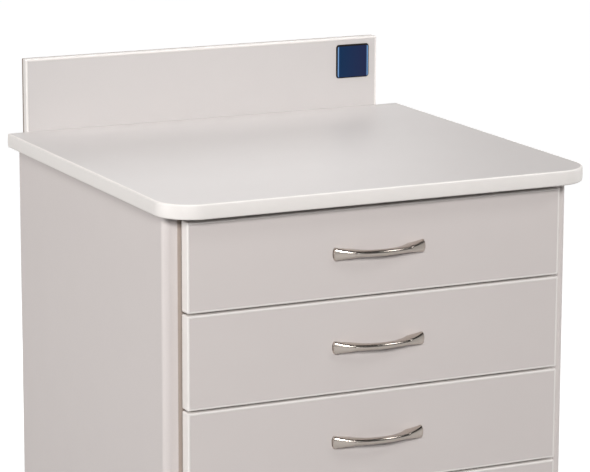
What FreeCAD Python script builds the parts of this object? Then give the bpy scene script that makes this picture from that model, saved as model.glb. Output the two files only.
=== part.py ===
import FreeCAD, Part
import os
import re
import Sketcher
from FreeCAD import Rotation, Vector

# Drawer cabinet for a treatment room: a laminate carcass between two finish
# panels, a worktop with a rear splash board, four shallow drawers and a deep
# one on ball-bearing slides, and a recessed plinth on levelling feet.
# Millimetres. X runs to the right, Y to the rear and Z up. The origin lies on
# the floor under the centre of the cabinet's outer box.

SIZES = {
    # Worktop: laminated board with a plastic band round its front and sides
    "worktop_overhang": 13.9,
    "worktop_depth": 565.0,
    "worktop_thick": 19.5,
    "worktop_height": 889.0,
    "worktop_corner": 50.0,
    "worktop_band": 3.0,
    "worktop_arris": 2.0,
    # Splash board, which stands behind the worktop and laps down its rear edge
    "splash_inset": 17.9,
    "splash_offset_left": 3.3,
    "splash_rise": 101.6,
    "splash_thick": 16.0,
    "splash_lap": 60.0,
    "splash_band": 3.0,
    "splash_arris": 1.5,
    # Plate near the top right corner of the splash board
    "badge_width": 52.8,
    "badge_height": 49.2,
    "badge_corner": 4.5,
    "badge_thick": 2.2,
    "badge_arris": 1.2,
    "badge_side_inset": 13.0,
    "badge_top_inset": 9.6,
    # Outer finish panels
    "body_width": 582.2,
    "panel_thick": 19.0,
    "panel_round": 9.5,
    "panel_setback": 20.6,
    # Carcass boards between the finish panels
    "carcass_thick": 16.0,
    "carcass_underside": 100.0,
    "back_thick": 6.0,
    "rail_depth": 90.0,
    "rail_setback": 24.0,
    # Drawer fronts
    "front_reach": 31.3,
    "front_thick": 19.0,
    "front_band": 3.0,
    "front_arris": 2.0,
    "front_gap": 2.7,
    "front_side_gap": 4.1,
    "top_gap": 8.9,
    "first_front_height": 117.1,
    "shallow_front_height": 123.2,
    "bottom_reveal": 3.0,
    "closed_gap": 3.5,
    "bumper_radius": 4.0,
    "bumper_play": 0.3,
    # Bow handles
    "handle_length": 132.0,
    "handle_hole_spacing": 96.0,
    "handle_end_height": 17.0,
    "handle_end_bulge": 2.0,
    "handle_end_thick": 4.6,
    "handle_waist_height": 7.4,
    "handle_waist_length": 31.0,
    "handle_waist_thick": 8.0,
    "handle_projection": 22.6,
    "handle_pad_length": 25.0,
    "handle_round": 2.4,
    "handle_thread_depth": 3.2,
    # Drawer boxes
    "box_board": 12.0,
    "box_rear_clear": 4.7,
    "box_rise": 14.0,
    "box_headroom": 25.0,
    "box_clear": 12.0,
    "box_bottom_board": 6.0,
    "box_bottom_lift": 8.0,
    # Slides: three nested channels on each side of a drawer
    "slide_width": 12.7,
    "slide_height": 45.0,
    "slide_sheet": 1.2,
    "slide_play": 0.4,
    "slide_flange": 9.0,
    "slide_setback": 2.5,
    "slide_rear_clear": 2.7,
    "slide_rise": 34.0,
    # Plinth and levelling feet
    "toe_depth": 60.0,
    "plinth_inset": 20.0,
    "plinth_board": 16.0,
    "plinth_ground_gap": 15.0,
    "socket_width": 46.0,
    "socket_height": 40.0,
    "foot_pad_radius": 20.0,
    "foot_pad_height": 8.0,
    "foot_hub_radius": 10.0,
    "foot_hub_height": 5.0,
    "foot_stem_radius": 5.0,
    "foot_stem_grip": 25.0,
    "foot_hex_radius": 8.0,
    "foot_hex_height": 6.0,
    "foot_play": 0.05,
    # Screws and their holes
    "screw_radius": 2.0,
    "screw_head_radius": 4.0,
    "screw_head_height": 2.4,
    "screw_bite": 11.0,
    "screw_edge": 20.0,
    "hole_play": 0.1,
    "cut_overrun": 5.0,
}

# Where along a board its screws sit, as shares of half the board's width
FRONT_SCREW_SHARE = 0.8
WORKTOP_SCREW_SHARE = 0.7
SPLASH_SCREW_SHARES = (-0.75, -0.25, 0.25, 0.75)

DRAWER_COUNT = 5
HEX_SIDES = 6
TOLERANCE = 1e-4

# Places and sizes that follow from the sizes above
PLACES = {
    "worktop_width": "body_width + 2 * worktop_overhang",
    "half_worktop": "worktop_width / 2",
    "splash_width": "body_width - 2 * splash_inset",
    "splash_left": "-splash_width / 2 - splash_offset_left",
    "splash_right": "splash_width / 2 - splash_offset_left",
    "worktop_front": "-(worktop_depth + splash_thick) / 2",
    "worktop_rear": "worktop_front + worktop_depth",
    "worktop_underside": "worktop_height - worktop_thick",
    "splash_bottom": "worktop_height - splash_lap",
    "splash_top": "worktop_height + splash_rise",
    "splash_rear": "worktop_rear + splash_thick",
    "face_plane": "worktop_front + front_reach",
    "front_rear": "face_plane + front_thick",
    "panel_front": "face_plane + panel_setback",
    "panel_inner": "body_width / 2 - panel_thick",
    "carcass_front": "front_rear + closed_gap",
    "carcass_inner": "panel_inner - carcass_thick",
    "carcass_rear": "worktop_rear - back_thick",
    "floor_top": "carcass_underside + carcass_thick",
    "rail_bottom": "worktop_underside - carcass_thick",
    "rail_front": "carcass_front + rail_setback",
    "front_half": "panel_inner - front_side_gap",
    "box_half": "carcass_inner - slide_width",
    "box_inner": "box_half - box_board",
    "box_rear": "carcass_rear - box_rear_clear",
    "slide_front": "carcass_front + slide_setback",
    "slide_rear": "carcass_rear - slide_rear_clear",
    "plinth_front_face": "carcass_front + toe_depth",
    "plinth_rear_face": "worktop_rear - plinth_inset",
    "plinth_half": "body_width / 2 - plinth_inset",
    "socket_outer": "plinth_half - plinth_board",
    "socket_bottom": "carcass_underside - socket_height",
    "foot_across": "socket_outer - socket_width / 2",
    "foot_front": "plinth_front_face + plinth_board + socket_width / 2",
    "foot_rear": "plinth_rear_face - plinth_board - socket_width / 2",
    "hole_radius": "screw_radius + hole_play",
    "handle_half": "handle_length / 2",
}

doc = FreeCAD.newDocument("DrawerCabinet")
sheet = doc.addObject("Spreadsheet::Sheet", "Sizes")
for row, (alias, number) in enumerate(SIZES.items(), start=1):
    sheet.set(f"A{row}", alias)
    sheet.set(f"B{row}", str(number))
    sheet.setAlias(f"B{row}", alias)
doc.recompute()

nodes = []


def expand(text):
    """Write a size expression out in full, with every size read from the sheet."""

    def written_out(match):
        word = match.group(0)
        if word in PLACES:
            return f"({expand(PLACES[word])})"
        if word in SIZES:
            return f"Sizes.{word}"
        return word

    return re.sub(r"[a-z][a-z_]*", written_out, text)


def value(text):
    """The present value of a size expression, in millimetres."""
    return float(sheet.evalExpression(expand(text)))


def bind(thing, prop, text):
    """Bind one property to a size expression."""
    thing.setExpression(prop, expand(text))


def move(thing, x, y, z):
    """Bind the place of an object."""
    for axis, text in zip("xyz", (x, y, z)):
        bind(thing, f"Placement.Base.{axis}", text)


def node(thing, label):
    """Make an object a sub-part under its own name."""
    thing.Label = label
    nodes.append(thing)
    return thing


def block(name, x, y, z):
    """A rectangular board from the low to the high place along each axis."""
    board = doc.addObject("Part::Box", name)
    for prop, (low, high) in zip(("Length", "Width", "Height"), (x, y, z)):
        bind(board, prop, f"({high}) - ({low})")
    move(board, x[0], y[0], z[0])
    return board


def rod(name, radius, length, at, along=Vector(0, 0, 1)):
    """A cylinder that starts at a place and runs along an axis."""
    cylinder = doc.addObject("Part::Cylinder", name)
    bind(cylinder, "Radius", radius)
    bind(cylinder, "Height", length)
    cylinder.Placement.Rotation = Rotation(Vector(0, 0, 1), along)
    move(cylinder, *at)
    return cylinder


def group(name, members):
    """Separate solids kept together as one object."""
    compound = doc.addObject("Part::Compound", name)
    compound.Links = members
    return compound


def fused(name, members):
    """Several shapes joined into one solid."""
    union = doc.addObject("Part::MultiFuse", name)
    union.Shapes = members
    return union


def cut(name, base, tools):
    """A shape with every tool taken away from it."""
    result = doc.addObject("Part::Cut", name)
    result.Base = base
    result.Tool = group(f"{name}_tools", tools)
    return result


def mirrored(name, source):
    """The same shape on the other side of the cabinet's middle plane."""
    mirror = doc.addObject("Part::Mirroring", name)
    mirror.Source = source
    mirror.Normal = Vector(1, 0, 0)
    return mirror


def new_body(name, x, y, z):
    """An empty body whose local origin lies at a bound place."""
    body = doc.addObject("PartDesign::Body", name)
    move(body, x, y, z)
    return body


def new_sketch(body, name, plane):
    """A sketch on one of the body's own origin planes."""
    sketch = body.newObject("Sketcher::SketchObject", f"{body.Name}_{name}")
    support = [item for item in body.Origin.OriginFeatures if item.Role == plane]
    sketch.AttachmentSupport = [(support[0], "")]
    sketch.MapMode = "FlatFace"
    return sketch


def bound_constraint(sketch, name, kind, where, text):
    """A dimension of a sketch that follows a size expression."""
    index = sketch.addConstraint(Sketcher.Constraint(kind, *where, value(text)))
    sketch.renameConstraint(index, name)
    bind(sketch, f"Constraints.{name}", text)


def arc_middle(start, end, radius):
    """The point half way along a short arc that bulges right of start to end."""
    chord = end - start
    sagitta = abs(radius) - (radius**2 - chord.Length**2 / 4) ** 0.5
    outward = Vector(chord.y, -chord.x, 0).normalize()
    side = 1 if radius > 0 else -1
    return start + chord * 0.5 + outward * (sagitta * side)


def closed_outline(sketch, stops):
    """Draw a closed outline through stops, each (x, y, radius).

    The stretch after a stop is straight where its radius is None, and else an
    arc of that radius: right of the way round, or left of it after a minus.
    Every corner and radius is bound to the sheet.
    """
    corners = [Vector(value(x), value(y), 0) for x, y, _ in stops]
    ends = corners[1:] + corners[:1]
    for start, end, (_, _, radius) in zip(corners, ends, stops):
        if radius is None:
            sketch.addGeometry(Part.LineSegment(start, end))
            continue
        middle = arc_middle(start, end, value(radius))
        # Every arc is stored anticlockwise, so a hollow one starts at its end
        ordered = (end, middle, start) if radius.startswith("-") else (start, middle, end)
        sketch.addGeometry(Part.Arc(*ordered))
    count = len(stops)
    first_point = [2 if radius and radius.startswith("-") else 1 for _, _, radius in stops]
    for index in range(count):
        after = (index + 1) % count
        last_point = 3 - first_point[index]
        joint = (index, last_point, after, first_point[after])
        sketch.addConstraint(Sketcher.Constraint("Coincident", *joint))
    for index, (x, y, radius) in enumerate(stops):
        point = (index, first_point[index])
        if x == "0":
            sketch.addConstraint(Sketcher.Constraint("PointOnObject", *point, -2))
        else:
            bound_constraint(sketch, f"x_{index}", "DistanceX", (-1, 1, *point), x)
        if y == "0":
            sketch.addConstraint(Sketcher.Constraint("PointOnObject", *point, -1))
        else:
            bound_constraint(sketch, f"y_{index}", "DistanceY", (-1, 1, *point), y)
        if radius is not None:
            bound_constraint(sketch, f"radius_{index}", "Radius", (index,), radius.lstrip("-"))


def rectangle(x, y):
    """Stops of a rectangle between the low and high places along two axes."""
    return [(x[0], y[0], None), (x[1], y[0], None), (x[1], y[1], None), (x[0], y[1], None)]


def bowed_rectangle(width, depth, corner):
    """Stops of a rectangle whose two front corners are rounded."""
    return [
        (corner, "0", None),
        (f"{width} - ({corner})", "0", corner),
        (width, corner, None),
        (width, depth, None),
        ("0", depth, None),
        ("0", corner, corner),
    ]


def pad(body, name, plane, stops, length, to_rear=False):
    """A body's first feature: an outline pushed out by a bound length."""
    sketch = new_sketch(body, f"{name}_outline", plane)
    closed_outline(sketch, stops)
    feature = body.newObject("PartDesign::Pad", f"{body.Name}_{name}")
    feature.Profile = sketch
    bind(feature, "Length", length)
    feature.Reversed = to_rear
    doc.recompute()
    return feature


def pocket(body, name, plane, stops):
    """Cut an outline right through the body, both ways from its sketch."""
    sketch = new_sketch(body, f"{name}_outline", plane)
    closed_outline(sketch, stops)
    before = body.Tip.Shape.Volume
    feature = body.newObject("PartDesign::Pocket", f"{body.Name}_{name}")
    feature.Profile = sketch
    feature.Type = "ThroughAll"
    feature.Midplane = True
    doc.recompute()
    if feature.Shape.Volume >= before:
        raise RuntimeError(f"{feature.Name} cuts nothing")
    return feature


def round_edges(body, radius, wanted):
    """Round every edge of the body's tip that the wanted test picks."""
    base = body.Tip
    edges = [f"Edge{i}" for i, edge in enumerate(base.Shape.Edges, start=1) if wanted(edge)]
    feature = body.newObject("PartDesign::Fillet", f"{body.Name}_round")
    feature.Base = (base, edges)
    bind(feature, "Radius", radius)
    doc.recompute()
    return feature


def lies_on(edge, axis, place):
    """Whether a whole edge keeps one coordinate."""
    box = edge.BoundBox
    low = getattr(box, f"{axis}Min")
    high = getattr(box, f"{axis}Max")
    return abs(low - place) < TOLERANCE and abs(high - place) < TOLERANCE


def screw_shape(name, at, along, shank):
    """A pan-head screw: the head's underside is at a place, the shank runs on."""
    head = rod(f"{name}_head", "screw_head_radius", "screw_head_height", at, -along)
    stem = rod(f"{name}_stem", "screw_radius", shank, at, along)
    return fused(name, [head, stem])


def front_top(k):
    """Height of a drawer front's top edge, counted from the top drawer."""
    if k == 1:
        return "worktop_underside - top_gap"
    return f"{front_bottom(k - 1)} - front_gap"


def front_bottom(k):
    """Height of a drawer front's bottom edge."""
    if k == DRAWER_COUNT:
        return "carcass_underside + bottom_reveal"
    height = "first_front_height" if k == 1 else "shallow_front_height"
    return f"{front_top(k)} - {height}"


def front_middle(k):
    """Height of the middle of a drawer front, where its handle sits."""
    return f"(({front_top(k)}) + ({front_bottom(k)})) / 2"


def box_bottom(k):
    """Height of the lower edges of a drawer box."""
    if k == DRAWER_COUNT:
        return "floor_top + box_clear"
    return f"{front_bottom(k)} + box_rise"


def box_top(k):
    """Height of the upper edges of a drawer box."""
    return f"{front_top(k)} - box_headroom"


def slide_middle(k):
    """Height of the middle of a drawer's slides."""
    return f"{box_bottom(k)} + slide_rise"


def make_worktop():
    """Laminated worktop board with two rounded front corners."""
    body = new_body("worktop_core", "-half_worktop + worktop_band",
                    "worktop_front + worktop_band", "worktop_underside")
    outline = bowed_rectangle("(worktop_width - 2 * worktop_band)",
                              "worktop_depth - worktop_band",
                              "worktop_corner - worktop_band")
    pad(body, "pad", "XY_Plane", outline, "worktop_thick")
    holes = []
    for i, (x, y) in enumerate(worktop_screw_places()):
        at = (x, y, "worktop_underside - cut_overrun")
        depth = "cut_overrun + screw_bite"
        holes.append(rod(f"worktop_hole_{i}", "hole_radius", depth, at))
    node(cut("worktop_board_cut", body, holes), "worktop_board")


def make_worktop_edging():
    """Plastic band along the worktop's front and sides, round at its arrises."""
    body = new_body("worktop_band_body", "-half_worktop", "worktop_front", "worktop_underside")
    outline = bowed_rectangle("worktop_width", "worktop_depth", "worktop_corner")
    pad(body, "pad", "XY_Plane", outline, "worktop_thick")
    top = value("worktop_thick")
    rear = value("worktop_depth")

    def arris(edge):
        level = lies_on(edge, "Z", 0) or lies_on(edge, "Z", top)
        return level and not lies_on(edge, "Y", rear)

    round_edges(body, "worktop_arris", arris)
    inner_corner = "worktop_corner - worktop_band"
    inner = [
        ("worktop_corner", "worktop_band", None),
        ("worktop_width - worktop_corner", "worktop_band", inner_corner),
        ("worktop_width - worktop_band", "worktop_corner", None),
        ("worktop_width - worktop_band", "worktop_depth + cut_overrun", None),
        ("worktop_band", "worktop_depth + cut_overrun", None),
        ("worktop_band", "worktop_corner", inner_corner),
    ]
    pocket(body, "bore", "XY_Plane", inner)
    node(body, "worktop_edging")


def make_splash():
    """Splash board, its band along the top and both ends, and the blank plate."""
    core = block("splash_core", ("splash_left + splash_band", "splash_right - splash_band"),
                 ("worktop_rear", "splash_rear"), ("splash_bottom", "splash_top - splash_band"))
    holes = []
    for i, x in enumerate(splash_screw_places()):
        at = (x, "splash_rear + cut_overrun", "rail_bottom + carcass_thick / 2")
        through = "splash_thick + 2 * cut_overrun"
        holes.append(rod(f"splash_hole_{i}", "hole_radius", through, at, Vector(0, -1, 0)))
        sink = "cut_overrun + screw_head_height + hole_play"
        radius = "screw_head_radius + hole_play"
        holes.append(rod(f"splash_sink_{i}", radius, sink, at, Vector(0, -1, 0)))
    node(cut("splash_board_cut", core, holes), "splash_board")

    band = new_body("splash_band_body", "splash_left", "worktop_rear", "splash_bottom")
    tall = "splash_rise + splash_lap"
    pad(band, "pad", "XZ_Plane", rectangle(("0", "splash_width"), ("0", tall)),
        "splash_thick", to_rear=True)

    def arris(edge):
        upright_face = lies_on(edge, "Y", 0) or lies_on(edge, "Y", value("splash_thick"))
        return upright_face and not lies_on(edge, "Z", 0)

    round_edges(band, "splash_arris", arris)
    pocket(band, "bore", "XZ_Plane",
           rectangle(("splash_band", "splash_width - splash_band"),
                     ("-cut_overrun", f"{tall} - splash_band")))
    node(band, "splash_edging")


def make_badge():
    """Bare plate with rounded corners, stuck on the splash board."""
    left = "splash_right - badge_side_inset - badge_width"
    plate = new_body("badge_body", left, "worktop_rear - badge_thick",
                     "splash_top - badge_top_inset - badge_height")
    far = "badge_width - badge_corner"
    high = "badge_height - badge_corner"
    outline = [
        ("badge_corner", "0", None),
        (far, "0", "badge_corner"),
        ("badge_width", "badge_corner", None),
        ("badge_width", high, "badge_corner"),
        (far, "badge_height", None),
        ("badge_corner", "badge_height", "badge_corner"),
        ("0", high, None),
        ("0", "badge_corner", "badge_corner"),
    ]
    pad(plate, "pad", "XZ_Plane", outline, "badge_thick", to_rear=True)
    round_edges(plate, "badge_arris", lambda edge: lies_on(edge, "Y", 0))
    node(plate, "badge_plate")


def make_side_panels():
    """Finish panels with rounded outer corners, front and rear."""
    panel = new_body("side_panel_body", "panel_inner", "panel_front", "carcass_underside")
    outline = rectangle(("0", "panel_thick"), ("0", "worktop_rear - (panel_front)"))
    pad(panel, "pad", "XY_Plane", outline, "worktop_underside - carcass_underside")

    def outer_corner(edge):
        upright = edge.BoundBox.ZLength > value("carcass_thick")
        return upright and lies_on(edge, "X", value("panel_thick"))

    round_edges(panel, "panel_round", outer_corner)
    node(panel, "side_panel_right")
    node(mirrored("side_panel_mirror", panel), "side_panel_left")


def make_carcass():
    """Inner sides, floor, top rails and back between the finish panels."""
    upright = ("carcass_underside", "worktop_underside")
    inner_side = block("inner_side", ("carcass_inner", "panel_inner"),
                       ("carcass_front", "carcass_rear"), upright)
    node(inner_side, "inner_side_right")
    node(mirrored("inner_side_mirror", inner_side), "inner_side_left")

    across = ("-carcass_inner", "carcass_inner")
    floor = block("carcass_floor", across, ("carcass_front", "carcass_rear"),
                  ("carcass_underside", "floor_top"))
    node(floor, "carcass_bottom")

    rail_rise = ("rail_bottom", "worktop_underside")
    front = block("front_rail", across, ("rail_front", "rail_front + rail_depth"), rail_rise)
    rear = block("rear_rail", across, ("carcass_rear - rail_depth", "carcass_rear"), rail_rise)
    bores = [rod(f"rail_hole_{i}", "hole_radius", "carcass_thick + 2 * cut_overrun",
                 (x, y, "rail_bottom - cut_overrun"))
             for i, (x, y) in enumerate(worktop_screw_places())]
    node(cut("front_rail_cut", front, bores[:2]), "top_rail_front")
    edge_bores = [rod(f"rail_edge_hole_{i}", "hole_radius", "screw_bite + cut_overrun",
                      (x, "carcass_rear + cut_overrun", "rail_bottom + carcass_thick / 2"),
                      Vector(0, -1, 0))
                  for i, x in enumerate(splash_screw_places())]
    node(cut("rear_rail_cut", rear, bores[2:] + edge_bores), "top_rail_rear")

    back = block("back_board", ("-panel_inner", "panel_inner"),
                 ("carcass_rear", "worktop_rear"), upright)
    back_bores = [rod(f"back_hole_{i}", "hole_radius", "back_thick + 2 * cut_overrun",
                      (x, "worktop_rear + cut_overrun", "rail_bottom + carcass_thick / 2"),
                      Vector(0, -1, 0))
                  for i, x in enumerate(splash_screw_places())]
    node(cut("back_board_cut", back, back_bores), "back_panel")


def worktop_screw_places():
    """Plan places of the screws that hold the worktop, front pair first."""
    far = f"carcass_inner * {WORKTOP_SCREW_SHARE}"
    front = "rail_front + rail_depth / 2"
    rear = "carcass_rear - rail_depth / 2"
    return [(f"-{far}", front), (far, front), (f"-{far}", rear), (far, rear)]


def splash_screw_places():
    """Places across of the screws that hold the splash board."""
    half = "splash_width / 2"
    return [f"{half} * {share} - splash_offset_left" for share in SPLASH_SCREW_SHARES]


def make_carcass_screws():
    """Worktop screws through the rails and splash screws from behind."""
    screws = []
    for i, (x, y) in enumerate(worktop_screw_places()):
        screws.append(screw_shape(f"worktop_screw_{i}", (x, y, "rail_bottom"),
                                  Vector(0, 0, 1), "carcass_thick + screw_bite"))
    for i, x in enumerate(splash_screw_places()):
        at = (x, "splash_rear - screw_head_height - hole_play",
              "rail_bottom + carcass_thick / 2")
        reach = "splash_thick - screw_head_height - hole_play + back_thick + screw_bite"
        screws.append(screw_shape(f"splash_screw_{i}", at, Vector(0, -1, 0), reach))
    node(group("carcass_screw_set", screws), "carcass_screws")


def make_plinth():
    """Recessed plinth frame with a threaded socket block in each corner."""
    rise = ("plinth_ground_gap", "carcass_underside")
    across = ("-plinth_half", "plinth_half")
    front = block("plinth_front_board", across,
                  ("plinth_front_face", "plinth_front_face + plinth_board"), rise)
    rear = block("plinth_rear_board", across,
                 ("plinth_rear_face - plinth_board", "plinth_rear_face"), rise)
    right = block("plinth_right_board", ("socket_outer", "plinth_half"),
                  ("plinth_front_face + plinth_board", "plinth_rear_face - plinth_board"), rise)
    node(front, "plinth_front")
    node(rear, "plinth_rear")
    left = mirrored("plinth_left_board", right)
    node(group("plinth_side_pair", [left, right]), "plinth_sides")

    sockets = []
    for name, x, y in foot_places():
        reach = "socket_width / 2"
        core = block(f"socket_core_{name}", (f"{x} - {reach}", f"{x} + {reach}"),
                     (f"{y} - {reach}", f"{y} + {reach}"), ("socket_bottom", "carcass_underside"))
        bore = rod(f"socket_bore_{name}", "foot_stem_radius + foot_play",
                   "socket_height + 2 * cut_overrun", (x, y, "socket_bottom - cut_overrun"))
        sockets.append(cut(f"socket_{name}", core, [bore]))
    node(group("socket_set", sockets), "foot_sockets")


def foot_places():
    """Name and plan place of each levelling foot."""
    return [
        ("front_left", "-foot_across", "foot_front"),
        ("front_right", "foot_across", "foot_front"),
        ("rear_left", "-foot_across", "foot_rear"),
        ("rear_right", "foot_across", "foot_rear"),
    ]


def make_feet():
    """Levelling feet: a turned pad with a hub, and a hexagon on a threaded stem."""
    for name, x, y in foot_places():
        pad_body = new_body(f"foot_pad_{name}", x, y, "0")
        sketch = new_sketch(pad_body, "half_section", "XZ_Plane")
        closed_outline(sketch, [
            ("0", "0", None),
            ("foot_pad_radius", "0", None),
            ("foot_pad_radius", "foot_pad_height / 2", None),
            ("foot_hub_radius", "foot_pad_height", None),
            ("foot_hub_radius", "foot_pad_height + foot_hub_height", None),
            ("0", "foot_pad_height + foot_hub_height", None),
        ])
        turned = pad_body.newObject("PartDesign::Revolution", f"foot_turned_{name}")
        turned.Profile = sketch
        turned.ReferenceAxis = (sketch, ["V_Axis"])
        doc.recompute()
        hub_top = "foot_pad_height + foot_hub_height"
        hexagon = doc.addObject("Part::Prism", f"foot_hexagon_{name}")
        hexagon.Polygon = HEX_SIDES
        bind(hexagon, "Circumradius", "foot_hex_radius")
        bind(hexagon, "Height", "foot_hex_height")
        move(hexagon, x, y, hub_top)
        stem = rod(f"foot_stem_{name}", "foot_stem_radius",
                   f"socket_bottom + foot_stem_grip - ({hub_top})", (x, y, hub_top))
        shank = fused(f"foot_shank_{name}", [hexagon, stem])
        node(group(f"foot_{name}", [pad_body, shank]), f"levelling_foot_{name}")


def channel(name, x, y, z_middle, height, opening):
    """A sheet channel along Y that is open to the left (-1) or the right (1)."""
    low = f"{z_middle} - {height} / 2"
    high = f"{z_middle} + {height} / 2"
    hull = block(f"{name}_hull", x, y, (low, high))
    past = ("slide_sheet", "-cut_overrun")
    left, right = past if opening > 0 else past[::-1]
    space = block(f"{name}_space", (f"{x[0]} + {left}", f"{x[1]} - ({right})"),
                  (f"{y[0]} - cut_overrun", f"{y[1]} + cut_overrun"),
                  (f"{low} + slide_sheet", f"{high} - slide_sheet"))
    return cut(name, hull, [space])


def make_slides():
    """The cabinet's, middle and drawer's channels of every slide."""
    along = ("slide_front", "slide_rear")
    step = "(slide_sheet + slide_play)"
    outer = ("carcass_inner - slide_flange", "carcass_inner")
    middle = ("carcass_inner - slide_flange - slide_play", f"carcass_inner - {step}")
    inner = ("box_half", f"carcass_inner - 2 * {step}")
    cabinet_channels = []
    for k in range(1, DRAWER_COUNT + 1):
        z = slide_middle(k)
        cabinet_channels.append(channel(f"cabinet_channel_{k}", outer, along, z,
                                        "slide_height", -1))
        right = channel(f"middle_channel_{k}", middle, along, z,
                        f"(slide_height - 2 * {step})", -1)
        left = mirrored(f"middle_channel_left_{k}", right)
        node(group(f"middle_channels_{k}", [left, right]), f"slide_middle_{k}")
        right = channel(f"drawer_channel_{k}", inner, along, z,
                        f"(slide_height - 4 * {step})", 1)
        left = mirrored(f"drawer_channel_left_{k}", right)
        node(group(f"drawer_channels_{k}", [left, right]), f"slide_inner_{k}")
    right = group("cabinet_channels", cabinet_channels)
    node(right, "slide_outer_right")
    node(mirrored("cabinet_channels_left", right), "slide_outer_left")


def front_screw_places(k):
    """Place across and height of the screws between a drawer box and its front."""
    far = f"box_inner * {FRONT_SCREW_SHARE}"
    low = f"{box_bottom(k)} + screw_edge"
    high = f"{box_top(k)} - screw_edge"
    return [(x, z) for x in (f"-{far}", far) for z in (low, high)]


def handle_screw_places(k):
    """Place across and height of the screws that hold a handle."""
    return [(f"{side}handle_hole_spacing / 2", front_middle(k)) for side in ("-", "")]


def make_drawer_front(k):
    """Laminated drawer front and the plastic band round its four edges."""
    across = ("-front_half + front_band", "front_half - front_band")
    rise = (f"{front_bottom(k)} + front_band", f"{front_top(k)} - front_band")
    core = block(f"front_core_{k}", across, ("face_plane", "front_rear"), rise)
    holes = []
    for i, (x, z) in enumerate(handle_screw_places(k)):
        holes.append(rod(f"front_handle_hole_{k}_{i}", "hole_radius",
                         "front_thick + 2 * cut_overrun",
                         (x, "front_rear + cut_overrun", z), Vector(0, -1, 0)))
    for i, (x, z) in enumerate(front_screw_places(k)):
        holes.append(rod(f"front_screw_hole_{k}_{i}", "hole_radius",
                         "screw_bite + cut_overrun",
                         (x, "front_rear + cut_overrun", z), Vector(0, -1, 0)))
    node(cut(f"front_cut_{k}", core, holes), f"drawer_front_{k}")

    band = new_body(f"front_band_{k}", "-front_half", "face_plane", front_bottom(k))
    wide = "2 * (front_half)"
    tall = f"({front_top(k)}) - ({front_bottom(k)})"
    pad(band, "pad", "XZ_Plane", rectangle(("0", wide), ("0", tall)),
        "front_thick", to_rear=True)
    round_edges(band, "front_arris", lambda edge: True)
    pocket(band, "bore", "XZ_Plane",
           rectangle(("front_band", f"{wide} - front_band"),
                     ("front_band", f"{tall} - front_band")))
    node(band, f"drawer_edging_{k}")


def make_handle(k):
    """Bow handle: an arched bar crossed with a waisted outline, softened in front."""
    side_view = new_body(f"handle_arch_{k}", "0", "face_plane",
                         f"{front_middle(k)} - handle_end_height / 2")
    rise = "(handle_projection - handle_end_thick)"
    outer = f"((handle_half ^ 2 + {rise} ^ 2) / (2 * {rise}))"
    heel = "(handle_half - handle_pad_length)"
    clear = "(handle_projection - handle_waist_thick)"
    inner = f"(({heel} ^ 2 + {clear} ^ 2) / (2 * {clear}))"
    bow_stops = [
        ("-handle_half", "0", None),
        ("-handle_half", "-handle_end_thick", outer),
        ("handle_half", "-handle_end_thick", None),
        ("handle_half", "0", None),
        (heel, "0", f"-{inner}"),
        (f"-{heel}", "0", None),
    ]
    pad(side_view, "pad", "XY_Plane", bow_stops, "handle_end_height")

    front_view = new_body(f"handle_outline_{k}", "0", "face_plane + cut_overrun",
                          front_middle(k))
    corner = "(handle_half - handle_end_bulge)"
    tip = "(handle_end_height / 2)"
    end = f"(({tip} ^ 2 + handle_end_bulge ^ 2) / (2 * handle_end_bulge))"
    straight = "(handle_waist_length / 2)"
    waist = "(handle_waist_height / 2)"
    flare = f"({tip} - {waist})"
    sweep = f"((({corner} - {straight}) ^ 2 + {flare} ^ 2) / (2 * {flare}))"
    waisted = [
        (f"-{corner}", f"-{tip}", f"-{sweep}"),
        (f"-{straight}", f"-{waist}", None),
        (straight, f"-{waist}", f"-{sweep}"),
        (corner, f"-{tip}", end),
        (corner, tip, f"-{sweep}"),
        (straight, waist, None),
        (f"-{straight}", waist, f"-{sweep}"),
        (f"-{corner}", tip, end),
    ]
    pad(front_view, "pad", "XZ_Plane", waisted, "handle_projection + 2 * cut_overrun")

    bar = doc.addObject("Part::Common", f"handle_bar_{k}")
    bar.Base = side_view
    bar.Tool = front_view
    doc.recompute()

    outer_face = max(bar.Shape.Faces, key=lambda face: face.BoundBox.XLength)
    radius = value("handle_round")
    softened = doc.addObject("Part::Fillet", f"handle_soft_{k}")
    softened.Base = bar
    softened.Edges = [(number, radius, radius)
                      for number, edge in enumerate(bar.Shape.Edges, start=1)
                      if any(edge.isSame(other) for other in outer_face.Edges)]
    threads = [rod(f"handle_thread_{k}_{i}", "hole_radius",
                   "cut_overrun + handle_thread_depth + hole_play",
                   (x, "face_plane + cut_overrun", z), Vector(0, -1, 0))
               for i, (x, z) in enumerate(handle_screw_places(k))]
    node(cut(f"handle_cut_{k}", softened, threads), f"drawer_handle_{k}")


def make_drawer_box(k):
    """Five boards: two sides, the inner front, the rear and the bottom."""
    rise = (box_bottom(k), box_top(k))
    right = block(f"box_right_{k}", ("box_inner", "box_half"), ("front_rear", "box_rear"), rise)
    left = mirrored(f"box_left_{k}", right)
    between = ("-box_inner", "box_inner")
    front = block(f"box_front_core_{k}", between, ("front_rear", "front_rear + box_board"), rise)
    places = handle_screw_places(k) + front_screw_places(k)
    bores = [rod(f"box_hole_{k}_{i}", "hole_radius", "box_board + 2 * cut_overrun",
                 (x, "front_rear + box_board + cut_overrun", z), Vector(0, -1, 0))
             for i, (x, z) in enumerate(places)]
    inner_front = cut(f"box_front_{k}", front, bores)
    rear = block(f"box_rear_{k}", between, ("box_rear - box_board", "box_rear"), rise)
    lift = f"{box_bottom(k)} + box_bottom_lift"
    bottom = block(f"box_bottom_{k}", between,
                   ("front_rear + box_board", "box_rear - box_board"),
                   (lift, f"{lift} + box_bottom_board"))
    node(group(f"box_{k}", [left, right, inner_front, rear, bottom]), f"drawer_box_{k}")


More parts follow.
